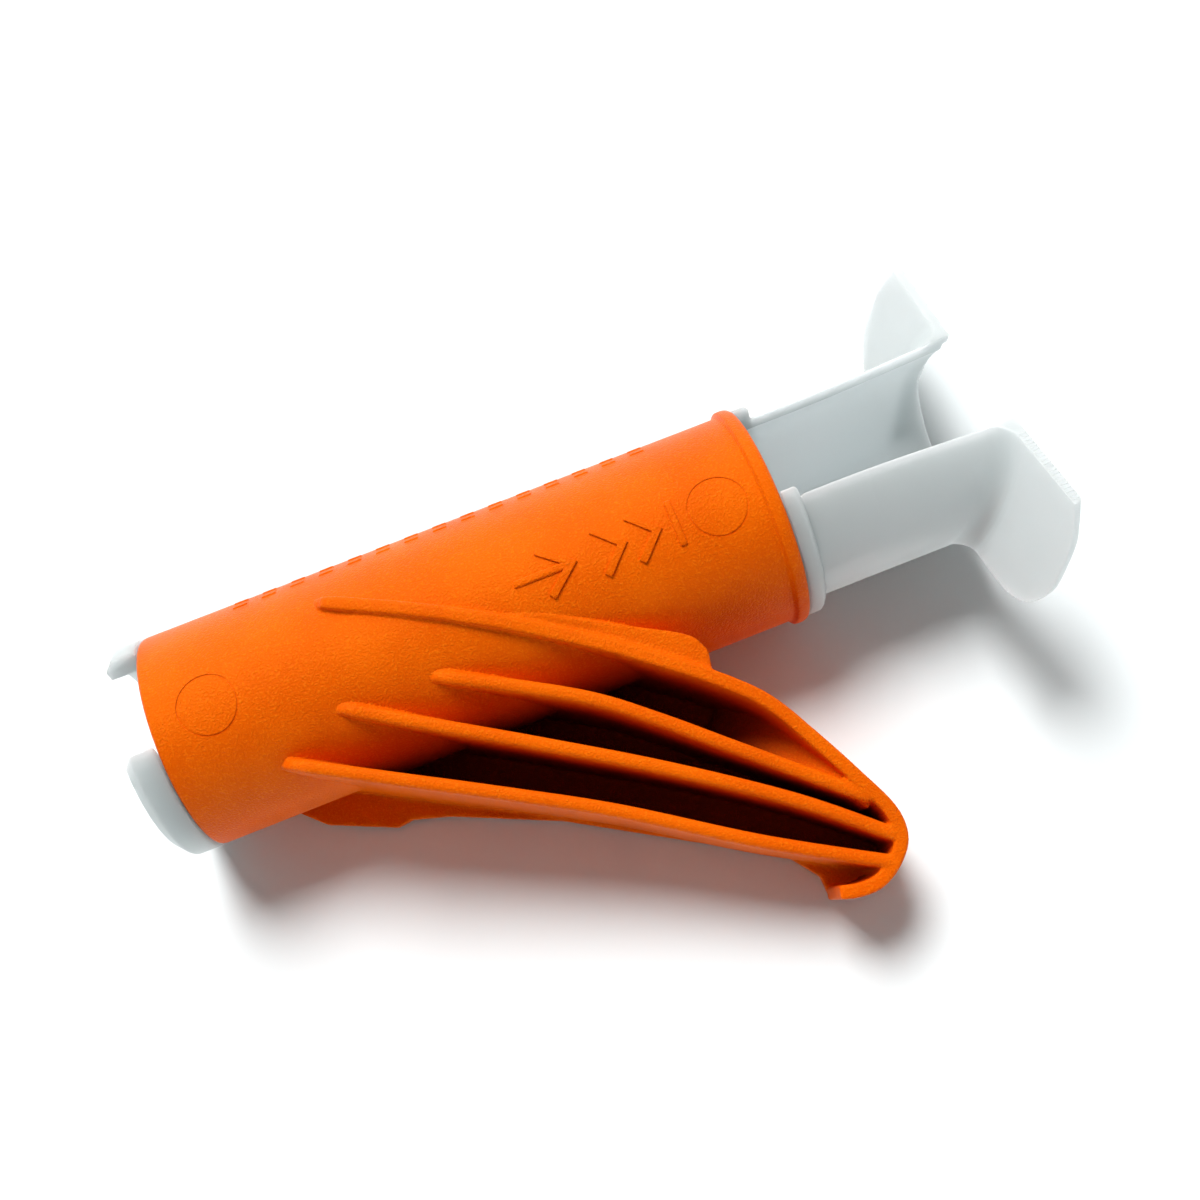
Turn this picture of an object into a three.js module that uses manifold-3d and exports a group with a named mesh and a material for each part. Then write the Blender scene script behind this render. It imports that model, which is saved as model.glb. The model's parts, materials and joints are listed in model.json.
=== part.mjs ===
// Applicator for slit cable sleeving: a moulded tube with a hooked finger grip,
// and a split liner with lead-in wings that turns inside it.
// Millimetres. Each piece is drawn in the tool's own axes, with the tube along X,
// the grip towards -Y and the two mould halves meeting on the plane Z = 0.
// The finished tool is then laid on its side, as it rests on a bench.
import * as THREE from 'three';
import { mergeVertices } from 'three/addons/utils/BufferGeometryUtils.js';
import Module from 'manifold-3d';

const wasm = await Module();
wasm.setup();

// Tube of the grip
const tubeRadius = 9.4;
const tubeLength = 53.8;
const tubeBore = 8.65;
const beadRadius = 9.85;
const beadWidth = 1.2;
const mouthChamfer = 0.35;
const roundSegments = 72;

// Finger grip: thickness envelope, ribs and far skin
const rootY = -1.4;
const tipY = -33.4;
const rootHalf = 9.38;
const tipHalf = 4.3;
const nearBulge = 0.6;
const skin = 1.2;
const ribThickness = 1.15;
const ridgeHeight = 0.6;
const shoulderDrop = 0.6;

// Split liner
const linerOuter = 8.35;
const linerInner = 7.5;
const collarRadius = 9.5;
const collarWidth = 1.5;
const lipRadius = 9.45;
const lipLength = 2.6;
const endGap = 0.3;
const channelEnd = 72;
const slotWidth = 11.2;
const slotTurn = THREE.MathUtils.degToRad(30.5);
const wingTop = 6.3;
const wingEnd = 74.3;
const wingRake = 0.4;
const wingThickness = 1.3;
const wingStep = 0.3;

// How the tool lies: on its rim bead and the flat of its grip
const restTilt = THREE.MathUtils.degToRad(9.55);

// Centre line of the rib that walls the finger side, goes round the tip and ends in the lip
const fingerRib = [
  [16.2, 4.6], [23.3, 0.9], [30.4, -3.2], [35.8, -6.7], [40.2, -10], [43.4, -12.6], [46.6, -15.8],
  [49, -19.9], [51.1, -24], [52.6, -27.4], [52.5, -29.8], [51, -31.6], [48.9, -32.3], [46.6, -31.9],
];
const secondRib = [[22.7, -4.4], [28.6, -7.6], [33.8, -10.7], [38.2, -14.2], [43.1, -18.5], [51.6, -25.9]];
const thirdRib = [[14.8, -4.1], [20.4, -7.5], [28.8, -12.6], [37.4, -18], [46, -24], [52.4, -29.4]];
const palmRib = [[9.3, -6.6], [16.4, -10.6], [24.2, -14.9], [32.4, -19.6], [42.2, -26], [51.6, -31.4]];

// Edge of the far skin on the palm side, from the lip back to the tube
const palmEdge = [
  [46.4, -30.4], [44.6, -28], [40.6, -25.5], [34, -21.6], [27.6, -17.8], [18.4, -13.7],
  [15.1, -12.7], [13.7, -12.9], [7.8, -10.3], [5.6, -8.2],
];

// Neck where the finger side leaves the tube
const neck = [[43.2, -6], [43.9, -8.8], [43.7, -10.8], [44.2, -12.1]];

function toSolid(geometry) {
  const bare = geometry.clone();
  bare.deleteAttribute('normal');
  bare.deleteAttribute('uv');
  const merged = mergeVertices(bare, 1e-4);
  return new wasm.Manifold(new wasm.Mesh({
    numProp: 3,
    vertProperties: new Float32Array(merged.attributes.position.array),
    triVerts: new Uint32Array(merged.index.array),
  }));
}

function toGeometry(solid) {
  const mesh = solid.getMesh();
  const geometry = new THREE.BufferGeometry();
  geometry.setAttribute('position', new THREE.BufferAttribute(new Float32Array(mesh.vertProperties), 3));
  geometry.setIndex(new THREE.BufferAttribute(new Uint32Array(mesh.triVerts), 1));
  geometry.computeVertexNormals();
  return geometry;
}

// A closed ring or rod around X, from [radius, x] points
function turned(profile) {
  const points = profile.map(([radius, x]) => new THREE.Vector2(radius, x));
  const geometry = new THREE.LatheGeometry(points, roundSegments);
  geometry.rotateZ(-Math.PI / 2);
  return toSolid(geometry);
}

function outlineShape(points) {
  return new THREE.Shape(points.map(([x, y]) => new THREE.Vector2(x, y)));
}

// A flat outline in X and Y, standing from z0 to z1
function plate(points, z0, z1) {
  const geometry = new THREE.ExtrudeGeometry(outlineShape(points), { depth: z1 - z0, bevelEnabled: false });
  geometry.translate(0, 0, z0);
  return toSolid(geometry);
}

// A smooth line through the given points
function smooth(points, steps) {
  const curve = new THREE.SplineCurve(points.map(([x, y]) => new THREE.Vector2(x, y)));
  return curve.getSpacedPoints(steps).map((p) => [p.x, p.y]);
}

// The outline of a rib of even thickness along a centre line
function ribOutline(line, thickness) {
  const left = [];
  const right = [];
  line.forEach(([x, y], i) => {
    const [ax, ay] = line[Math.max(i - 1, 0)];
    const [bx, by] = line[Math.min(i + 1, line.length - 1)];
    const length = Math.hypot(bx - ax, by - ay);
    const nx = -(by - ay) / length * thickness / 2;
    const ny = (bx - ax) / length * thickness / 2;
    left.push([x + nx, y + ny]);
    right.unshift([x - nx, y - ny]);
  });
  return left.concat(right);
}

function halfThickness(t, bulge) {
  return rootHalf + (tipHalf - rootHalf) * t + 4 * bulge * t * (1 - t);
}

// The wedge that the grip fills: a tangent to the tube, tapering to the tip, flat behind
function envelope(lowered = 0) {
  const steps = 6;
  const outline = [[rootY, -rootHalf], [tipY, -tipHalf]];
  for (let i = steps; i >= 0; i -= 1) {
    const t = i / steps;
    outline.push([rootY + (tipY - rootY) * t, halfThickness(t, nearBulge / 2) - lowered]);
  }
  const geometry = new THREE.ExtrudeGeometry(outlineShape(outline), { depth: 70, bevelEnabled: false });
  const sideways = new THREE.Matrix4().makeBasis(
    new THREE.Vector3(0, 1, 0), new THREE.Vector3(0, 0, 1), new THREE.Vector3(1, 0, 0));
  geometry.applyMatrix4(sideways);
  return toSolid(geometry);
}

function tubeSolid(radius) {
  return turned([
    [0, 0], [radius - mouthChamfer, 0], [radius, mouthChamfer], [radius, tubeLength - beadWidth], [0, tubeLength - beadWidth],
  ]);
}

function beadSolid() {
  const x = tubeLength;
  return turned([
    [0, x - beadWidth - 0.4], [tubeRadius, x - beadWidth - 0.4], [beadRadius, x - beadWidth],
    [beadRadius, x - mouthChamfer], [beadRadius - mouthChamfer, x], [0, x],
  ]);
}

function boreSolid() {
  return turned([[0, -1], [tubeBore, -1], [tubeBore, tubeLength + 1], [0, tubeLength + 1]]);
}

function gripBody() {
  const wedge = envelope();
  const rimLine = smooth(fingerRib, 34);
  const ribs = [rimLine, smooth(secondRib, 12), smooth(thirdRib, 12), smooth(palmRib, 12)];
  const rimStart = rimLine.findIndex(([x]) => x > 44);
  const outside = rimLine.slice(rimStart);
  const skinOutline = [[16, -1.5], [38, -1.5]].concat(neck, outside, palmEdge);
  const above = wedge.translate(0, 0, skin);
  let solid = tubeSolid(tubeRadius).add(beadSolid());
  solid = solid.add(plate(skinOutline, -12, 12).intersect(wedge).subtract(above));
  const ridge = tubeSolid(tubeRadius + ridgeHeight).intersect(plate([[2, -9], [46, -9], [46, 9], [2, 9]], 1, 12));
  ribs.forEach((line) => {
    const wall = plate(ribOutline(line, ribThickness), -12, 12);
    solid = solid.add(wall.intersect(wedge)).add(wall.intersect(ridge));
  });
  const shoulderLine = rimLine.filter(([x]) => x > 29 && x < 43.6);
  const shoulder = [[29, -1.8], [36.5, -4.9], [42.2, -7.6]].concat(neck.slice(1, 3), shoulderLine.reverse());
  solid = solid.add(plate(shoulder, -12, 12).intersect(envelope(shoulderDrop)));
  return solid.subtract(boreSolid());
}

function slotCutter() {
  const box = new THREE.BoxGeometry(120, slotWidth, 20);
  box.translate(40, 0, 10);
  return toSolid(box);
}

// One lead-in wing: a raked tongue beside the slot, in the liner's own axes (slot towards +Z)
function wing(side) {
  const tongue = new THREE.Shape();
  tongue.moveTo(4.2, wingTop);
  tongue.lineTo(16.9, wingTop);
  tongue.quadraticCurveTo(18.8, 4.8, 18.7, 1.6);
  tongue.quadraticCurveTo(18.5, -4.4, 12.4, -4.5);
  tongue.lineTo(5.8, -4.5);
  const geometry = new THREE.ExtrudeGeometry(tongue, { depth: wingThickness, bevelEnabled: false, curveSegments: 8 });
  const place = new THREE.Matrix4().makeBasis(
    new THREE.Vector3(0, 1, 0), new THREE.Vector3(wingRake, 0, 1), new THREE.Vector3(1, 0, 0));
  geometry.applyMatrix4(place);
  geometry.translate(wingEnd - wingThickness - wingRake * wingTop, 0, 0);
  const solid = toSolid(geometry);
  return side > 0 ? solid : solid.mirror([0, 1, 0]);
}

// Side view of the channel: its end is square below, and raked beside the slot as the wings are
function channelEnds() {
  const start = -10;
  const reach = 14;
  const edge = wingEnd - wingStep;
  const rakeFoot = wingTop - (edge - channelEnd) / wingRake;
  const outline = [[start, -reach], [channelEnd, -reach], [channelEnd, rakeFoot], [edge, wingTop], [edge, reach], [start, reach]];
  const geometry = new THREE.ExtrudeGeometry(outlineShape(outline), { depth: 2 * reach, bevelEnabled: false });
  geometry.rotateX(Math.PI / 2);
  geometry.translate(0, reach, 0);
  return toSolid(geometry);
}

function splitLiner() {
  const lipTop = -endGap;
  const lipFoot = -endGap - lipLength;
  const collar = tubeLength + endGap;
  const sleeve = turned([
    [linerInner, lipFoot], [linerOuter + 0.1, lipFoot], [lipRadius, lipFoot + 0.9], [lipRadius, lipTop],
    [linerOuter, lipTop], [linerOuter, collar], [collarRadius, collar], [collarRadius, collar + collarWidth - 0.4],
    [collarRadius - 0.4, collar + collarWidth], [linerOuter, collar + collarWidth], [linerOuter, wingEnd + 1],
    [linerInner, wingEnd + 1], [linerInner, lipFoot],
  ]);
  const wallMiddle = (linerInner + linerOuter) / 2;
  const hollow = turned([[0, channelEnd - 8], [wallMiddle, channelEnd - 8], [wallMiddle, wingEnd + 2], [0, wingEnd + 2]]);
  let solid = sleeve.intersect(channelEnds());
  [1, -1].forEach((side) => {
    solid = solid.add(wing(side).subtract(hollow));
  });
  return solid.subtract(slotCutter());
}

function namedMesh(name, solid, colour, roughness) {
  const material = new THREE.MeshStandardMaterial({ color: colour, roughness, metalness: 0 });
  const mesh = new THREE.Mesh(toGeometry(solid), material);
  mesh.name = name;
  return mesh;
}

const grip = namedMesh('grip_body', gripBody(), 0xe2560a, 0.55);
const liner = namedMesh('split_liner', splitLiner(), 0xdde3e4, 0.4);
liner.rotation.x = -slotTurn;

const tool = new THREE.Group();
tool.add(grip, liner);
tool.rotation.x = restTilt;
tool.position.z = beadRadius;
tool.updateMatrixWorld(true);

// The origin is the middle of the footprint, on the surface that the tool lies on
const box = new THREE.Box3().setFromObject(tool, true);
tool.position.x = -(box.min.x + box.max.x) / 2;
tool.position.y = -(box.min.y + box.max.y) / 2;

const model = new THREE.Group();
model.add(tool);

export default model;
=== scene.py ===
import json
from math import cos, pi, radians, sin, sqrt

import bmesh
import bpy
import numpy as np
from mathutils import Matrix, Vector
from mathutils.geometry import interpolate_bezier


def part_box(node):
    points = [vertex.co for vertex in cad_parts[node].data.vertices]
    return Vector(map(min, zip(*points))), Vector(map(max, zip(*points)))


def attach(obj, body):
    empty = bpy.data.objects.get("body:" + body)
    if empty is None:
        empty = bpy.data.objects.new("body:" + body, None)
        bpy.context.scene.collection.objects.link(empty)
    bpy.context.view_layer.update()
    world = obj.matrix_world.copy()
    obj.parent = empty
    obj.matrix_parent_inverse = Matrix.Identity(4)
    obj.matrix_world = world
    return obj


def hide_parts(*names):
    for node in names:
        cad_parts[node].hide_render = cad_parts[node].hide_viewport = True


# Applicator for slit cable sleeving: an orange tube with a hooked finger grip, and a
# natural white split liner that turns inside it.

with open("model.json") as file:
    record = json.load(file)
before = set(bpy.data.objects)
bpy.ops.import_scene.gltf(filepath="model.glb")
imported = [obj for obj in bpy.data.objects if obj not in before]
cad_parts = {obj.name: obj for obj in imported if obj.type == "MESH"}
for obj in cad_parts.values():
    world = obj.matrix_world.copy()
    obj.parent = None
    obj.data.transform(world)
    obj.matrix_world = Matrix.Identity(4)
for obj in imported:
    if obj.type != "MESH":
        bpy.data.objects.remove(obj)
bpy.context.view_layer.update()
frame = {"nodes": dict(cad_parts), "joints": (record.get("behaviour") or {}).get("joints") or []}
print("frame loaded:", sorted(frame["nodes"]))

# Pieces are shaped in millimetres in the tool's own axes, with the tube along X and the grip
# towards -Y, and are laid down in the frame last.
turnJoint = frame["joints"][0]
lie = {
    "tilt": 9.55,  # degrees, on the rim bead and the flat of the grip
    "start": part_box("grip_body")[0].x,  # left end of the tube
    "axisY": turnJoint["pos_m"][1],
    "axisZ": turnJoint["pos_m"][2],
}
toolPlace = Matrix.Translation((lie["start"], lie["axisY"], lie["axisZ"]))
toolPlace = toolPlace @ Matrix.Rotation(radians(lie["tilt"]), 4, "X") @ Matrix.Scale(0.001, 4)

shaping = {
    "roundingSteps": 4,
    "sharpFrom": 50,  # degrees, edges sharper than this are rounded
    "turningSteps": 192,
    "roundReach": 0.03,  # millimetres off a cylinder that still count as on it
    "roundFacing": 0.94,  # how well a corner faces outward to be shaded as round
    "faceFacing": 0.5,  # the same, for a face that lies wholly on the cylinder
    "creaseAngle": 38,
    "close": 0.01,  # millimetres within which two heights count as the same
}


def makeObject(bm, name):
    mesh = bpy.data.meshes.new(name)
    bm.to_mesh(mesh)
    bm.free()
    obj = bpy.data.objects.new(name, mesh)
    bpy.context.scene.collection.objects.link(obj)
    return obj


def modify(obj, kind, **values):
    modifier = obj.modifiers.new(kind.lower(), kind)
    for key, value in values.items():
        setattr(modifier, key, value)
    return modifier


def applyModifiers(obj):
    graph = bpy.context.evaluated_depsgraph_get()
    old = obj.data
    obj.data = bpy.data.meshes.new_from_object(obj.evaluated_get(graph))
    obj.modifiers.clear()
    bpy.data.meshes.remove(old)
    return obj


def discard(obj):
    mesh = obj.data
    bpy.data.objects.remove(obj)
    bpy.data.meshes.remove(mesh)


def combine(obj, operation, other):
    # join, cut or keep what is common, then throw the second solid away
    modify(obj, "BOOLEAN", operation=operation, solver="MANIFOLD", object=other)
    applyModifiers(obj)
    discard(other)
    return obj


def gather(name, solids):
    # overlapping solids in one mesh, ready to be fused by a voxel remesh
    bm = bmesh.new()
    for solid in solids:
        bm.from_mesh(solid.data)
        discard(solid)
    return makeObject(bm, name)


def fuse(obj, voxel, softening):
    modify(obj, "REMESH", mode="VOXEL", voxel_size=voxel, use_smooth_shade=True)
    modify(obj, "SMOOTH", factor=0.5, iterations=softening)
    applyModifiers(obj)


def smoothLine(points, steps=6):
    # a smooth line through given points
    knots = [Vector((p[0], p[1], 0)) for p in points]
    line = [knots[0]]
    for i in range(len(knots) - 1):
        before = knots[max(i - 1, 0)]
        after = knots[min(i + 2, len(knots) - 1)]
        here, there = knots[i], knots[i + 1]
        lead, trail = here + (there - before) / 6, there - (after - here) / 6
        line += interpolate_bezier(here, lead, trail, there, steps + 1)[1:]
    return line


def farFrom(start, p):
    # distance seen from above
    return (Vector((p.x, p.y)) - Vector((start.x, start.y))).length


def wall(line, thickness, bottomOf, topOf, rounding, widthOf=None):
    # a ribbon standing on a line, thickened and rounded over its crest and ends;
    # widthOf gives the share of the thickness at a distance from the line's start
    bm = bmesh.new()
    foot = [bm.verts.new((p.x, p.y, bottomOf(p))) for p in line]
    for a, b in zip(foot, foot[1:]):
        bm.edges.new((a, b))
    raised = bmesh.ops.extrude_edge_only(bm, edges=bm.edges[:])["geom"]
    for vert in [item for item in raised if isinstance(item, bmesh.types.BMVert)]:
        vert.co.z = topOf(vert.co)
    obj = makeObject(bm, "wall")
    solidify = modify(obj, "SOLIDIFY", thickness=thickness, offset=0, use_even_offset=True)
    if widthOf:
        group = obj.vertex_groups.new(name="width")
        for vert in obj.data.vertices:
            group.add([vert.index], widthOf(farFrom(line[0], vert.co)), "REPLACE")
        solidify.vertex_group = group.name
    modify(
        obj, "BEVEL", width=rounding, segments=shaping["roundingSteps"],
        limit_method="ANGLE", angle_limit=radians(shaping["sharpFrom"]))
    return applyModifiers(obj)


def plate(outline, bottomOf, topOf):
    # an outline seen from above, made solid between two heights
    bm = bmesh.new()
    base = bm.faces.new([bm.verts.new((x, y, 0)) for x, y in outline])
    top = bmesh.ops.extrude_face_region(bm, geom=[base])["geom"]
    topVerts = {item for item in top if isinstance(item, bmesh.types.BMVert)}
    for vert in bm.verts:
        vert.co.z = topOf(vert.co) if vert in topVerts else bottomOf(vert.co)
    bmesh.ops.recalc_face_normals(bm, faces=bm.faces[:])
    return makeObject(bm, "plate")


def turned(profile, steps=shaping["turningSteps"], closed=False):
    # profile points are (radius, distance along X)
    bm = bmesh.new()
    verts = [bm.verts.new((x, 0, radius)) for radius, x in profile]
    for a, b in zip(verts, verts[1:]):
        bm.edges.new((a, b))
    if closed:
        bm.edges.new((verts[-1], verts[0]))
    bmesh.ops.spin(
        bm, geom=bm.verts[:] + bm.edges[:], cent=(0, 0, 0), axis=(1, 0, 0), dvec=(0, 0, 0),
        angle=2 * pi, steps=steps, use_merge=True)
    bmesh.ops.remove_doubles(bm, verts=bm.verts[:], dist=1e-4)
    bmesh.ops.recalc_face_normals(bm, faces=bm.faces[:])
    return makeObject(bm, "turned")


def vertPlaces(obj):
    places = np.zeros(len(obj.data.vertices) * 3, np.float32)
    obj.data.vertices.foreach_get("co", places)
    return places.reshape(-1, 3)


def moveVerts(obj, rule):
    # rule takes and gives an array of vertex places
    moved = rule(vertPlaces(obj).astype(float))
    obj.data.vertices.foreach_set("co", moved.astype(np.float32).ravel())
    obj.data.update()


def easeRise(values, low, high):
    share = np.clip((values - low) / (high - low), 0, 1)
    return share * share * (3 - 2 * share)


def snapRadius(places, radius, reach, along):
    # brings what lies close to a cylinder exactly onto it
    r = np.hypot(places[:, 1], places[:, 2])
    near = (np.abs(r - radius) < reach) & (places[:, 0] > along[0]) & (places[:, 0] < along[1])
    factor = np.where(near, radius / np.maximum(r, 1e-6), 1)
    places[:, 1] *= factor
    places[:, 2] *= factor
    return places


def roundNormals(obj, radii):
    # thinned cylinders keep the shading of a true one: (radius, +1 outside or -1 inside)
    mesh = obj.data
    back = np.array(toolPlace.inverted())
    places = vertPlaces(obj) @ back[:3, :3].T + back[:3, 3]
    corners = np.zeros(len(mesh.loops), np.int32)
    mesh.loops.foreach_get("vertex_index", corners)
    shaded = np.zeros(len(mesh.loops) * 3, np.float32)
    mesh.corner_normals.foreach_get("vector", shaded)
    shaded = shaded.reshape(-1, 3)
    r = np.maximum(np.hypot(places[:, 1], places[:, 2]), 1e-6)
    radial = np.stack([np.zeros(len(r)), places[:, 1] / r, places[:, 2] / r], axis=1)
    radial = (radial @ np.array(toolPlace.to_3x3().normalized()).T)[corners]
    starts = np.zeros(len(mesh.polygons), np.int32)
    mesh.polygons.foreach_get("loop_start", starts)
    sizes = np.zeros(len(mesh.polygons), np.int32)
    mesh.polygons.foreach_get("loop_total", sizes)
    kept = np.zeros_like(shaded)
    for radius, side in radii:
        along = (shaded * radial).sum(axis=1) * side
        onSkin = (np.abs(r - radius) < shaping["roundReach"])[corners]
        wholeFace = np.repeat(np.logical_and.reduceat(onSkin, starts), sizes)
        near = onSkin & ((along > shaping["roundFacing"]) | (wholeFace & (along > shaping["faceFacing"])))
        kept[near] = radial[near] * side
    mesh.normals_split_custom_set(kept.tolist())


def triangleCount(obj):
    return sum(len(p.vertices) - 2 for p in obj.data.polygons)


def thin(obj, most):
    count = triangleCount(obj)
    if count > most:
        modify(obj, "DECIMATE", ratio=most / count)
        applyModifiers(obj)


def finishPiece(obj, name, body, material, replaced, radii):
    obj.name = name
    obj.data.name = name
    obj.data.transform(toolPlace)
    obj.data.polygons.foreach_set("use_smooth", [True] * len(obj.data.polygons))
    obj.data.set_sharp_from_angle(angle=radians(shaping["creaseAngle"]))
    roundNormals(obj, radii)
    obj.data.materials.clear()
    obj.data.materials.append(material)
    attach(obj, body)
    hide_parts(replaced)
    print(name, triangleCount(obj), "triangles")


def newMaterial(name, **values):
    material = bpy.data.materials.new(name)
    material.use_nodes = True
    shader = material.node_tree.nodes["Principled BSDF"]
    for key, value in values.items():
        shader.inputs[key.replace("_", " ")].default_value = value
    return material, shader


def addNode(material, kind, links=None, **values):
    # values go to the node's inputs, or else to its settings
    node = material.node_tree.nodes.new(kind)
    for key, value in values.items():
        if key.replace("_", " ") in node.inputs:
            node.inputs[key.replace("_", " ")].default_value = value
        else:
            setattr(node, key, value)
    for socket, source in (links or {}).items():
        material.node_tree.links.new(source, node.inputs[socket])
    return node


def cloudyShades(material, place, values):
    # two close shades in soft clouds
    cloud = addNode(
        material, "ShaderNodeTexNoise", {"Vector": place},
        Scale=values["cloudScale"], Detail=values["cloudDetail"], Roughness=0.5)
    shades = addNode(material, "ShaderNodeValToRGB", {"Fac": cloud.outputs["Fac"]})
    for stop, position, shade in zip(shades.color_ramp.elements, values["cloudSpan"], ("deep", "light")):
        stop.position = position
        stop.color = values[shade]
    return shades


orangeFinish = {
    "light": (0.82, 0.122, 0.0008, 1),
    "deep": (0.75, 0.095, 0.0004, 1),
    "cloudScale": 120.0,
    "cloudDetail": 3.0,
    "cloudSpan": (0.35, 0.65),
    "paintedPocketShade": (0.25, 0.022, 0.006, 1),  # painted shade deep in the pockets
    "pocketShadeFrom": 0.9,  # millimetres below the crests
    "pocketShadeTo": 8.5,
    "pocketShadeMost": 0.9,
    "glint": (1, 0.27, 0.008, 1),  # painted glints on the tops of the grain
    "glintFrom": 0.52,
    "glintTo": 0.68,
    "glintMost": 0.3,
    "gloss": 0.14,
    "sheen": (1, 0.5, 0.08, 1),  # tint of the gloss
    "roughness": (0.26, 0.46),
    "grainSize": 0.00018,  # metres, spark-eroded mould texture
    "grainDepth": 0.00011,
}


def orangeMoulding():
    values = orangeFinish
    material, shader = newMaterial(
        "orangeMoulding", Specular_IOR_Level=values["gloss"], Specular_Tint=values["sheen"])
    links = material.node_tree.links
    place = addNode(material, "ShaderNodeTexCoord").outputs["Object"]
    shades = cloudyShades(material, place, values)
    grain = addNode(
        material, "ShaderNodeTexNoise", {"Vector": place},
        Scale=1 / values["grainSize"], Detail=2.0, Roughness=0.6)
    gloss = addNode(
        material, "ShaderNodeMapRange", {"Value": grain.outputs["Fac"]},
        To_Min=values["roughness"][0], To_Max=values["roughness"][1])
    bump = addNode(
        material, "ShaderNodeBump", {"Height": grain.outputs["Fac"]},
        Strength=1.0, Distance=values["grainDepth"])
    # painted shade: the base colour darkens towards the pocket colour with depth below the crests
    depth = addNode(material, "ShaderNodeAttribute", attribute_name="pocketShadeDepth")
    share = addNode(
        material, "ShaderNodeMapRange", {"Value": depth.outputs["Fac"]}, interpolation_type="SMOOTHSTEP",
        From_Min=values["pocketShadeFrom"], From_Max=values["pocketShadeTo"], To_Max=values["pocketShadeMost"])
    # painted glints: the tops of the grain are lightened in the base colour
    glint = addNode(
        material, "ShaderNodeMapRange", {"Value": grain.outputs["Fac"]},
        From_Min=values["glintFrom"], From_Max=values["glintTo"], To_Max=values["glintMost"])
    paintedGlints = addNode(
        material, "ShaderNodeMixRGB", {"Fac": glint.outputs["Result"], "Color1": shades.outputs["Color"]},
        Color2=values["glint"])
    paintedShadeTone = addNode(
        material, "ShaderNodeMixRGB", {"Fac": share.outputs["Result"], "Color1": paintedGlints.outputs["Color"]},
        Color2=values["paintedPocketShade"])
    links.new(paintedShadeTone.outputs["Color"], shader.inputs["Base Color"])
    links.new(gloss.outputs["Result"], shader.inputs["Roughness"])
    links.new(bump.outputs["Normal"], shader.inputs["Normal"])
    return material


naturalFinish = {
    "light": (0.47, 0.50, 0.497, 1),
    "deep": (0.44, 0.472, 0.469, 1),
    "cloudScale": 90.0,
    "cloudDetail": 2.0,
    "cloudSpan": (0.3, 0.7),
    "roughness": 0.34,
    "gloss": 0.5,
    "spread": 1.0,
    "depth": 0.005,  # metres that light spreads inside the wall
    "depthTint": (0.97, 1.0, 1.03),
    "rippleScale": 420.0,
    "rippleDepth": 0.00004,
    "rippleStrength": 0.25,
}


def naturalMoulding():
    values = naturalFinish
    material, shader = newMaterial(
        "naturalMoulding", Roughness=values["roughness"], Specular_IOR_Level=values["gloss"],
        Subsurface_Weight=values["spread"], Subsurface_Scale=values["depth"],
        Subsurface_Radius=values["depthTint"])
    links = material.node_tree.links
    place = addNode(material, "ShaderNodeTexCoord").outputs["Object"]
    shades = cloudyShades(material, place, values)
    ripple = addNode(
        material, "ShaderNodeTexNoise", {"Vector": place},
        Scale=values["rippleScale"], Detail=2.0, Roughness=0.5)
    bump = addNode(
        material, "ShaderNodeBump", {"Height": ripple.outputs["Fac"]},
        Strength=values["rippleStrength"], Distance=values["rippleDepth"])
    links.new(shades.outputs["Color"], shader.inputs["Base Color"])
    links.new(bump.outputs["Normal"], shader.inputs["Normal"])
    return material


orange = orangeMoulding()
natural = naturalMoulding()
print("finishes made")


tube = {
    "radius": 9.4,
    "bore": 8.45,
    "length": 53.8,
    "beadRadius": 9.85,
    "beadWidth": 1.2,
    "beadFoot": 0.12,
    "leftEdge": [(-0.35, 0), (-0.1, 0.1), (0, 0.35)],  # rounded edges, as steps from their corner
    "beadBack": [(-0.05, -0.06), (0, 0.1)],
    "beadFront": [(0, -0.5), (-0.12, -0.15), (-0.4, 0)],
    "trueInset": (0.5, 1.9),  # from the ends; between them the wall is brought onto a true cylinder
    "roundReach": 0.05,
    "marksReach": 0.055,
    "plugEnds": (-3, 60),
    "plugSteps": 256,
    "voxel": 0.15,
    "softening": 4,
    "triangles": 182000,
}

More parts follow.
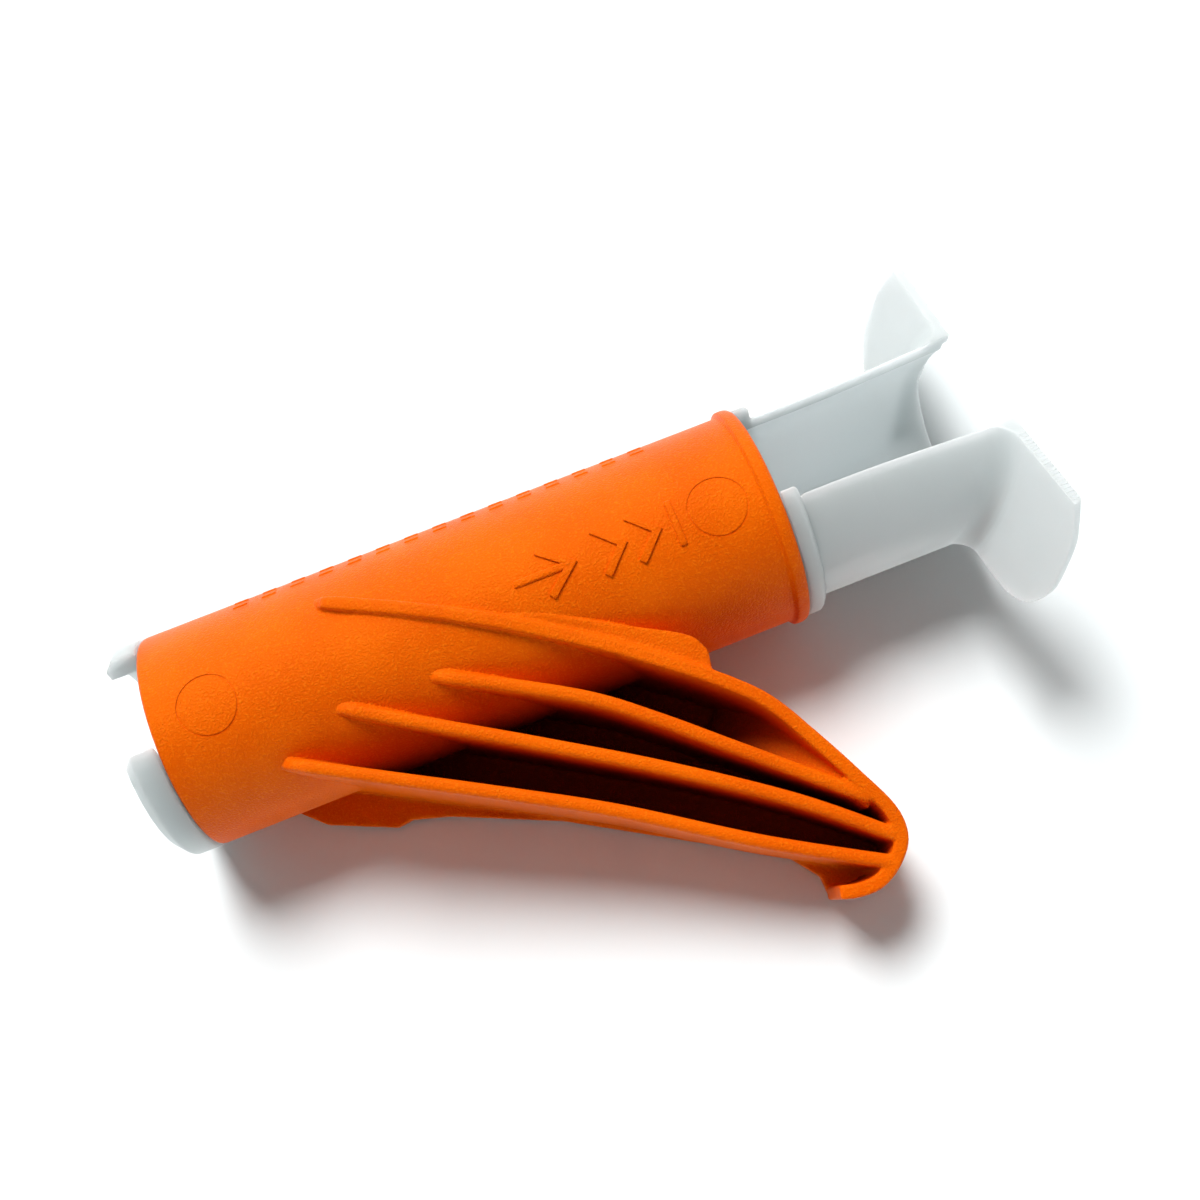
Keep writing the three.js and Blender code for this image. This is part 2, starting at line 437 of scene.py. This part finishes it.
hook = {
    "rootY": -1.4,
    "tipY": -33.4,
    "rootHalf": 9.38,
    "tipHalf": 4.3,
    "crown": 0.3,  # how far the crests bulge at mid length
    "ridge": 0.6,  # height of the ribs where they run up the tube
    "blend": 0.25,  # between the taper and the ridge
    "skin": 1.2,
    "rib": 1.15,
    "rounding": 0.5,
    "shoulderDrop": 0.5,
    "pocketShadeStart": -3.0,  # the painted pocket shade starts at this Y
    "fingerRib": [
        (15.3, 5.05), (23.3, 0.9), (30.4, -3.2), (35.8, -6.7), (40.2, -10), (43.4, -12.6), (46.6, -15.8),
        (49, -19.9), (51.1, -24), (52.6, -27.3), (52.7, -29.5), (51.6, -31.1), (49.8, -32.2), (48, -32.3),
        (46.4, -31.9),
    ],
    "innerRibs": [
        [(22.1, -4.1), (28.6, -7.6), (33.8, -10.7), (38.2, -14.2), (43.1, -18.5), (51.6, -25.9)],
        [(14.2, -3.75), (20.4, -7.5), (28.8, -12.6), (37.4, -18), (46, -24), (52.4, -29.4)],
        [(8.6, -6.25), (16.4, -10.6), (24.2, -14.9), (32.4, -19.6), (42.2, -26), (51.6, -31.4)],
    ],
    "neck": [(43.2, -6), (43.5, -8.6), (43.8, -10.6), (44.3, -12.2)],
    "crease": [(29, -1.8), (32, -2.8), (36.5, -5.1), (39.2, -6.6), (41.6, -7.9), (43.1, -9), (43.8, -10.4)],
    "lead": 1.9,  # length over which a rib rises out of the tube
    "leadWidth": 0.72,
    "sink": 0.15,  # how far a rib starts under the tube's surface
    "underTube": [(16, -1.5), (38, -1.5)],  # where the back skin runs in under the tube
    "shoulderFrom": 29,
    "shoulderTo": 43.6,
    "shoulderFoot": -14,
    "palmEdge": [
        (46.4, -30.4), (44.6, -28), (40.6, -25.5), (34, -21.6), (27.6, -17.8), (18.4, -13.7),
        (15.1, -12.7), (13.7, -12.9), (7.8, -10.3), (5.6, -8.2),
    ],
}


def alongHook(y):
    return np.clip((hook["rootY"] - y) / (hook["rootY"] - hook["tipY"]), 0, 1)


def crestHeight(p):
    # the ribs' crests: a slightly crowned taper, or a low ridge where they run up the tube
    t = alongHook(p.y)
    taper = hook["rootHalf"] + (hook["tipHalf"] - hook["rootHalf"]) * t + 4 * hook["crown"] * t * (1 - t)
    ridgeRadius = tube["radius"] + hook["ridge"]
    ridge = sqrt(max(ridgeRadius ** 2 - p.y ** 2, 0))
    return (taper + ridge + sqrt((taper - ridge) ** 2 + hook["blend"] ** 2)) / 2


def backHeight(p):
    return -hook["rootHalf"] + (hook["rootHalf"] - hook["tipHalf"]) * alongHook(p.y)


def ribFoot(p):
    return 0 if p.y > hook["rootY"] else backHeight(p) + hook["skin"] / 3


def tubeSolid():
    # one solid bar, bored out once the ribs are fused to it
    end = tube["length"]
    bead = end - tube["beadWidth"]
    side, rim = tube["radius"], tube["beadRadius"]

    def edge(radius, x, steps):
        return [(radius + out, x + on) for out, on in steps]

    profile = [(0, 0)] + edge(side, 0, tube["leftEdge"]) + [(side, bead - tube["beadFoot"])]
    profile += edge(rim, bead, tube["beadBack"]) + edge(rim, end, tube["beadFront"]) + [(0, end)]
    return turned(profile)


def ribSolid(points):
    # a rib that rises out of the tube with a thinner start
    line = smoothLine(points)

    def top(p):
        share = min(farFrom(line[0], p) / hook["lead"], 1)
        tubeTop = sqrt(max(tube["radius"] ** 2 - p.y ** 2, 0)) - hook["sink"]
        return tubeTop + (crestHeight(p) - tubeTop) * (1 - (1 - share) ** 2)

    def width(distance):
        return hook["leadWidth"] + (1 - hook["leadWidth"]) * min(distance / hook["lead"], 1)

    return wall(line, hook["rib"], ribFoot, top, hook["rounding"], width)


def hookSolids():
    rim = smoothLine(hook["fingerRib"])
    solids = [ribSolid(hook["fingerRib"])]
    for points in hook["innerRibs"]:
        solids.append(ribSolid(points))
    outside = [(p.x, p.y) for p in rim if p.y < hook["neck"][-1][1]]
    skin = hook["underTube"] + hook["neck"] + outside + hook["palmEdge"]
    solids.append(plate(skin, backHeight, lambda p: backHeight(p) + hook["skin"]))
    along = [p for p in rim if hook["shoulderFrom"] < p.x < hook["shoulderTo"]]
    along = [(p.x, p.y) for p in along if p.y > hook["shoulderFoot"]]
    shoulder = [(p.x, p.y) for p in smoothLine(hook["crease"])] + along[::-1]
    solids.append(plate(shoulder, backHeight, lambda p: crestHeight(p) - hook["shoulderDrop"]))
    return solids


ramp = {
    "line": [(42.2, -14.9), (45.4, -18), (48.6, -21.9), (51.7, -26.2)],  # middle of the first pocket
    "width": 6.0,
    "endWidth": 0.25,  # share of the width at the tip
    "length": 12.0,
    "below": 0.9,  # how far it ends under the crests
    "curve": 0.6,
    "rounding": 0.05,
}


def rampSolid():
    # the first pocket's floor sweeps up to the tip
    line = smoothLine(ramp["line"])

    def top(p):
        share = min(farFrom(line[0], p) / ramp["length"], 1)
        foot = backHeight(p) + hook["skin"] / 2
        return foot + (crestHeight(p) - ramp["below"] - foot) * share ** ramp["curve"]

    def width(distance):
        return 1 - (1 - ramp["endWidth"]) * min(distance / ramp["length"], 1)

    return wall(line, ramp["width"], backHeight, top, ramp["rounding"], width)


def measurePocketShade(obj):
    # stores how far each point between the ribs lies below their crests, as the mask for the painted pocket
    # shade
    rim = smoothLine(hook["fingerRib"])
    palm = smoothLine(hook["innerRibs"][-1])
    around = [(p.x, p.y) for p in rim + palm[::-1]]
    x, y, z = vertPlaces(obj).T
    inside = np.zeros(len(x), bool)
    for (ax, ay), (bx, by) in zip(around, around[1:] + around[:1]):
        if ay != by:
            inside ^= ((ay > y) != (by > y)) & (x < (bx - ax) * (y - ay) / (by - ay) + ax)
    crest = hook["rootHalf"] + (hook["tipHalf"] - hook["rootHalf"]) * alongHook(y)
    depth = np.where(inside & (y < hook["pocketShadeStart"]), np.maximum(crest - z, 0), 0)
    stored = obj.data.attributes.new("pocketShadeDepth", "FLOAT", "POINT")
    stored.data.foreach_set("value", depth.astype(np.float32))


def plug(radius):
    # a round bar that runs right through the tube
    low, high = tube["plugEnds"]
    return turned([(0, low), (radius, low), (radius, high), (0, high)], steps=tube["plugSteps"])


def trueTube(obj, reach):
    # the remesh leaves the wall a little off its radius
    left, right = tube["trueInset"]
    span = (left, tube["length"] - right)
    moveVerts(obj, lambda places: snapRadius(places, tube["radius"], reach, span))


def gripBody():
    obj = gather("grip", [tubeSolid(), rampSolid()] + hookSolids())
    fuse(obj, tube["voxel"], tube["softening"])
    trueTube(obj, tube["roundReach"])
    combine(obj, "DIFFERENCE", plug(tube["bore"]))
    thin(obj, tube["triangles"])
    trueTube(obj, tube["roundReach"])
    print("grip fused:", triangleCount(obj), "triangles")
    return obj


ejectorMarks = {
    "radius": 2.45,
    "line": 0.17,
    "depth": 0.07,
    "sides": 96,
    "above": 1,  # the cutter's middle, over the tube's surface
    "cutterLength": 4,
    "places": [(5.0, 0.0), (48.8, 0.0)],
}


def ejectorCutter(x, y):
    # a fine round groove just under the tube's surface
    rings = []
    half = ejectorMarks["line"] / 2
    for radius in (ejectorMarks["radius"] + half, ejectorMarks["radius"] - half):
        bm = bmesh.new()
        bmesh.ops.create_cone(
            bm, cap_ends=True, segments=ejectorMarks["sides"], radius1=radius, radius2=radius,
            depth=ejectorMarks["cutterLength"])
        bmesh.ops.translate(bm, vec=(x, y, tube["radius"] + ejectorMarks["above"]), verts=bm.verts[:])
        rings.append(makeObject(bm, "ring"))
    groove = combine(rings[0], "DIFFERENCE", rings[1])
    return combine(groove, "DIFFERENCE", plug(tube["radius"] - ejectorMarks["depth"]))


mark = {
    "stroke": 0.62,
    "height": 0.2,
    "rounding": 0.16,
    "root": -0.25,  # the strokes stand in the tube's wall
    "step": 0.3,  # a stroke is cut into steps, so that it bends with the tube
    "centre": (38.1, 0.0),
    "strokes": [
        [(-7.0, 0), (-2.2, 0)],
        [(-4.4, 2.0), (-2.0, 0), (-4.4, -2.0)],
        [(0.4, 2.0), (2.4, 0), (0.4, -2.0)],
        [(3.4, 2.0), (5.4, 0), (3.4, -2.0)],
        [(7.0, 2.0), (7.0, -2.0)],
    ],
}

topMarks = {
    "angles": [58, 66],  # degrees from the mould's draw direction
    "starts": [8.5 + 2.55 * i for i in range(15)],
    "length": 1.3,
    "stroke": 0.45,
    "height": 0.1,
    "rounding": 0.12,
}


def wrapOnTube(obj, centreAngle=0):
    # bends a flat raised mark round the tube: its Y becomes an arc, its Z stands off the surface
    def bend(places):
        angle = places[:, 1] / tube["radius"] + centreAngle
        r = tube["radius"] + places[:, 2]
        return np.stack([places[:, 0], r * np.sin(angle), r * np.cos(angle)], axis=1)
    moveVerts(obj, bend)
    return obj


def stroke(points, values):
    line = []
    for a, b in zip(points, points[1:]):
        a, b = Vector((a[0], a[1], 0)), Vector((b[0], b[1], 0))
        steps = max(int((b - a).length / mark["step"]), 1)
        line += [a.lerp(b, i / steps) for i in range(steps)]
    line.append(b)
    return wall(
        line, values["stroke"], lambda p: mark["root"], lambda p: values["height"], values["rounding"])


def addMarks(obj):
    cx, cy = mark["centre"]
    for points in mark["strokes"]:
        placed = [(x + cx, y + cy) for x, y in points]
        combine(obj, "UNION", wrapOnTube(stroke(placed, mark)))
    for angle in topMarks["angles"]:
        for x in topMarks["starts"]:
            bar = stroke([(x, 0), (x + topMarks["length"], 0)], topMarks)
            combine(obj, "UNION", wrapOnTube(bar, radians(angle)))
    for x, y in ejectorMarks["places"]:
        combine(obj, "DIFFERENCE", ejectorCutter(x, y))
    trueTube(obj, tube["marksReach"])
    print("marks raised and sunk")


grip = gripBody()
addMarks(grip)
measurePocketShade(grip)
finishPiece(
    grip, "gripMoulding", "grip", orange, "grip_body",
    [(tube["radius"], 1), (tube["bore"], -1)])


sleeve = {
    "outer": 8.35,
    "inner": 7.5,
    "collarRadius": 9.5,
    "collarWidth": 1.5,
    "lipRadius": 9.45,
    "lipLength": 2.95,
    "lipChamfer": (0.1, 0.9),
    "endGap": 0.08,
    "chamfer": 0.3,
    "end": 72,
    "slotHalf": 5.3,
    "collarSlotHalf": 5.35,
    "endSlot": (6.0, 3.0),  # half widths of the slot through the snap lip, grip side and far side
    "slotFrom": 4,  # where the slot reaches its own width, past the lip
    "collarEase": (2, 1),  # before the tube's end, from the slot's width to the collar's
    "armEase": (0.05, 0.45),  # past the collar, back to the slot's width
    "cutter": (-20, 90, 20),  # the slot's cutter: left, right and top
    "turn": 30.5,  # degrees from the mould's draw direction, as it lies
    "reach": 14,  # beyond the whole section
    "outerReach": (0.045, 0.3, 66),  # how close, and from where to where, it is trued to a cylinder
    "innerReach": (0.045, -2.5, 71.5),
    "lastReach": 0.03,
    "lastEnd": 58,
    "voxel": 0.13,
    "softening": 2,
    "triangles": 170000,
}

wings = {
    "top": 6.5,
    "end": 74.3,
    "rake": 0.4,
    "skew": 0.045,  # the far wing's tip stands a little further out
    "thickness": 0.85,
    "fillet": 1.8,
    "edge": 0.55,  # rounding of the far side's edges
    "root": 7.9,  # the wings start inside the channel's wall
    "reach": 22,  # past their outline, which trims them
    "step": 0.2,  # the channel ends this far short of the wings
    "inner": 4.2,
    "foot": (5.8, -4.6),
    "farSide": [
        (16.9, 6.5), (17.7, 5.2), (18.4, 3.7), (18.6, 1.5), (18.4, -0.9), (16.8, -3.2), (14.2, -4.3),
        (10.3, -4.5),
    ],
    "flare": 0.7,  # the arms spread this far, growing over the four spans below
    "flareAlong": (58, 76),
    "flareUp": (-2, 6),
    "flareOut": (8.5, 17),
    "flareFrom": (1, 4),
    "flareCurve": 1.2,
    "teeth": [8.0 + 0.44 * i for i in range(20)],
    "toothWidth": 0.2,
    "toothHeight": 0.1,
    "toothShort": 0.2,  # less than the wing's thickness
    "toothSink": 0.02,
}


def channelEnds():
    # side view of the channel: square below, raked beside the slot
    edge = wings["end"] - wings["step"]
    rakeFoot = wings["top"] - (edge - sleeve["end"]) / wings["rake"]
    far = sleeve["reach"]
    outline = [(-far, -far), (sleeve["end"], -far), (sleeve["end"], rakeFoot), (edge, wings["top"])]
    outline += [(edge, far), (-far, far)]
    solid = plate(outline, lambda p: -far, lambda p: far)
    solid.data.transform(Matrix.Rotation(radians(90), 4, "X"))
    return solid


def sleeveSolid():
    inner, outer = sleeve["inner"], sleeve["outer"]
    chamferIn, chamferUp = sleeve["lipChamfer"]
    lipTop = -sleeve["endGap"]
    lipFoot = lipTop - sleeve["lipLength"]
    collar = tube["length"] + sleeve["endGap"]
    collarEnd = collar + sleeve["collarWidth"]
    far = wings["end"] + 1
    solid = turned([
        (inner, lipFoot), (outer + chamferIn, lipFoot), (sleeve["lipRadius"], lipFoot + chamferUp),
        (sleeve["lipRadius"], lipTop), (outer, lipTop), (outer, collar),
        (sleeve["collarRadius"], collar), (sleeve["collarRadius"], collarEnd - sleeve["chamfer"]),
        (sleeve["collarRadius"] - sleeve["chamfer"], collarEnd), (outer, collarEnd),
        (outer, far), (inner, far),
    ], closed=True)
    combine(solid, "INTERSECT", channelEnds())
    return solid


def rakeIt(obj, skew):
    # leans a solid that stands square to X, so that its lower part sets back
    shear = Matrix.Identity(4)
    shear[0][2] = wings["rake"]
    shear[0][1] = skew
    shear[0][3] = -wings["rake"] * wings["top"]
    obj.data.transform(shear)
    return obj


def wingBlock(side, back, end):
    # the wing's outline carried from back to end, with its far edges rounded at the end
    curve = smoothLine(wings["farSide"], 5)
    outline = [(wings["inner"], wings["top"])] + [(p.x, p.y) for p in curve] + [wings["foot"]]
    block = plate([(side * v, u) for v, u in outline], lambda p: back, lambda p: end)
    bm = bmesh.new()
    bm.from_mesh(block.data)
    rim = [e for e in bm.edges if all(v.co.z > end - shaping["close"] for v in e.verts)]
    rim = [e for e in rim if min(v.co.y for v in e.verts) < wings["top"] - shaping["close"]]
    bmesh.ops.bevel(
        bm, geom=rim, offset=wings["edge"], segments=5, profile=0.5, affect="EDGES", material=-1)
    bm.to_mesh(block.data)
    bm.free()
    upright = Matrix(((0, 0, 1, 0), (1, 0, 0, 0), (0, 1, 0, 0), (0, 0, 0, 1)))
    block.data.transform(upright)
    return block


def wingSolid(side):
    # a flange with a concave fillet round the channel, trimmed to the wing's outline, then leant back
    soft, end, outer = wings["fillet"], wings["end"], sleeve["outer"]
    root, reach = wings["root"], wings["reach"]
    back = end - wings["thickness"]
    turns = [radians(15 * i) for i in range(7)]
    arc = [(outer + soft - soft * cos(a), back - soft + soft * sin(a)) for a in turns]
    flange = turned([(root, back - soft)] + arc + [(reach, back), (reach, end), (root, end)], closed=True)
    combine(flange, "INTERSECT", wingBlock(side, back - soft - 1, end))
    return rakeIt(flange, wings["skew"] if side > 0 else 0)


def slotCutter():
    near, wide = sleeve["collarSlotHalf"], sleeve["slotHalf"]
    left, right, high = sleeve["cutter"]
    collar = [tube["length"] - before for before in sleeve["collarEase"]]
    collarEnd = tube["length"] + sleeve["endGap"] + sleeve["collarWidth"]
    arm = [collarEnd + past for past in sleeve["armEase"]]
    outline = []
    for side, lip in zip((-1, 1), sleeve["endSlot"]):
        half = [(left, lip), (0, lip), (sleeve["slotFrom"], wide), (collar[0], wide), (collar[1], near)]
        half += [(arm[0], near), (arm[1], wide), (right, wide)]
        outline += [(x, side * v) for x, v in half][::-side]
    return plate(outline, lambda p: 0, lambda p: high)


def teethSolid():
    # fine ridges across the flat top of the front wing
    bm = bmesh.new()
    size = (wings["thickness"] - wings["toothShort"], wings["toothWidth"], wings["toothHeight"] * 2)
    for v in wings["teeth"]:
        cube = bmesh.ops.create_cube(bm, size=1)["verts"]
        bmesh.ops.scale(bm, vec=size, verts=cube)
        spot = (wings["end"] - wings["thickness"] / 2, -v, wings["top"] - wings["toothSink"])
        bmesh.ops.translate(bm, vec=spot, verts=cube)
    return makeObject(bm, "teeth")


def flareArms(places):
    # the arms open a little towards the wings
    x, y, z = places[:, 0], places[:, 1], places[:, 2]
    push = wings["flare"] * easeRise(x, *wings["flareAlong"]) ** wings["flareCurve"]
    push = push * easeRise(z, *wings["flareUp"]) * (1 - easeRise(np.abs(y), *wings["flareOut"]))
    places[:, 1] += np.sign(y) * push * easeRise(np.abs(y), *wings["flareFrom"])
    return places


def linerBody():
    obj = sleeveSolid()
    for side in (1, -1):
        combine(obj, "UNION", wingSolid(side))
    combine(obj, "DIFFERENCE", slotCutter())
    fuse(obj, sleeve["voxel"], sleeve["softening"])
    skins = [(sleeve["outer"], sleeve["outerReach"]), (sleeve["inner"], sleeve["innerReach"])]

    def trueUp(places):
        for wallRadius, (reach, low, high) in skins:
            snapRadius(places, wallRadius, reach, (low, high))
        return flareArms(places)

    def trueAgain(places):
        for wallRadius, (reach, low, high) in skins:
            snapRadius(places, wallRadius, sleeve["lastReach"], (low, sleeve["lastEnd"]))
        return places

    moveVerts(obj, trueUp)
    thin(obj, sleeve["triangles"])
    combine(obj, "UNION", teethSolid())
    moveVerts(obj, trueAgain)
    obj.data.transform(Matrix.Rotation(radians(-sleeve["turn"]), 4, "X"))
    return obj


liner = linerBody()
finishPiece(
    liner, "linerMoulding", "liner", natural, "split_liner",
    [(sleeve["outer"], 1), (sleeve["inner"], -1)])


studio = {
    "floor": (0.86, 0.90, 0.905, 1),
    "floorRoughness": 0.9,
    "floorGloss": 0.1,
    "floorSteps": 80,
    "sweep": (1.2, 2.4, 0.9),  # the floor rises from the first distance to the second, by the third
    "key": {"place": (-0.12, 0.58, 1.0), "angle": 27, "strength": 3.6},
    "back": {"place": (0.05, 0.75, 0.5), "size": 0.5, "power": 1.8},
    "sky": (0.03, 0.29),  # away from the window side, and towards it
    "skySpan": 0.8,
    "camera": {
        "place": (-0.00373, -0.0398, 0.12523),
        "turn": (20.90, 5.39, -20.84),
        "lens": 43.07,
        "nearest": 0.005,
    },
}


def makeFloor():
    near, far, lift = studio["sweep"]
    bm = bmesh.new()
    bmesh.ops.create_grid(
        bm, x_segments=studio["floorSteps"], y_segments=studio["floorSteps"], size=far)
    floor = makeObject(bm, "floor")

    def rise(places):
        places[:, 2] = lift * easeRise(np.hypot(places[:, 0], places[:, 1]), near, far)
        return places

    moveVerts(floor, rise)
    floor.data.polygons.foreach_set("use_smooth", [True] * len(floor.data.polygons))
    paper = newMaterial(
        "floorPaper", Base_Color=studio["floor"], Roughness=studio["floorRoughness"],
        Specular_IOR_Level=studio["floorGloss"])[0]
    floor.data.materials.append(paper)


def placeLight(name, data, place):
    light = bpy.data.objects.new(name, data)
    light.location = place
    light.rotation_euler = (-Vector(place)).to_track_quat("-Z", "Y").to_euler()
    bpy.context.scene.collection.objects.link(light)


def makeLights():
    key = bpy.data.lights.new("keyLight", "SUN")
    key.energy = studio["key"]["strength"]
    key.angle = radians(studio["key"]["angle"])
    placeLight("keyLight", key, studio["key"]["place"])
    back = bpy.data.lights.new("backLight", "AREA")
    back.shape = "DISK"
    back.size = studio["back"]["size"]
    back.energy = studio["back"]["power"]
    placeLight("backLight", back, studio["back"]["place"])


def makeSky():
    # a soft gradient, brighter on the window side (+Y)
    world = bpy.data.worlds.new("studioSky")
    world.use_nodes = True
    tree = world.node_tree
    around = tree.nodes.new("ShaderNodeTexCoord")
    split = tree.nodes.new("ShaderNodeSeparateXYZ")
    level = tree.nodes.new("ShaderNodeMapRange")
    level.inputs["From Min"].default_value = -studio["skySpan"]
    level.inputs["From Max"].default_value = studio["skySpan"]
    level.inputs["To Min"].default_value = studio["sky"][0]
    level.inputs["To Max"].default_value = studio["sky"][1]
    tree.links.new(around.outputs["Generated"], split.inputs["Vector"])
    tree.links.new(split.outputs["Y"], level.inputs["Value"])
    tree.links.new(level.outputs["Result"], tree.nodes["Background"].inputs["Strength"])
    tree.nodes["Background"].inputs["Color"].default_value = (1, 1, 1, 1)
    bpy.context.scene.world = world


def makeCamera():
    camera = bpy.data.objects.new("camera", bpy.data.cameras.new("camera"))
    camera.data.lens = studio["camera"]["lens"]
    camera.data.clip_start = studio["camera"]["nearest"]
    camera.location = studio["camera"]["place"]
    camera.rotation_euler = [radians(turn) for turn in studio["camera"]["turn"]]
    bpy.context.scene.collection.objects.link(camera)
    bpy.context.scene.camera = camera


makeFloor()
makeLights()
makeSky()
makeCamera()
bpy.context.scene.view_settings.view_transform = "Standard"
print("stage ready")
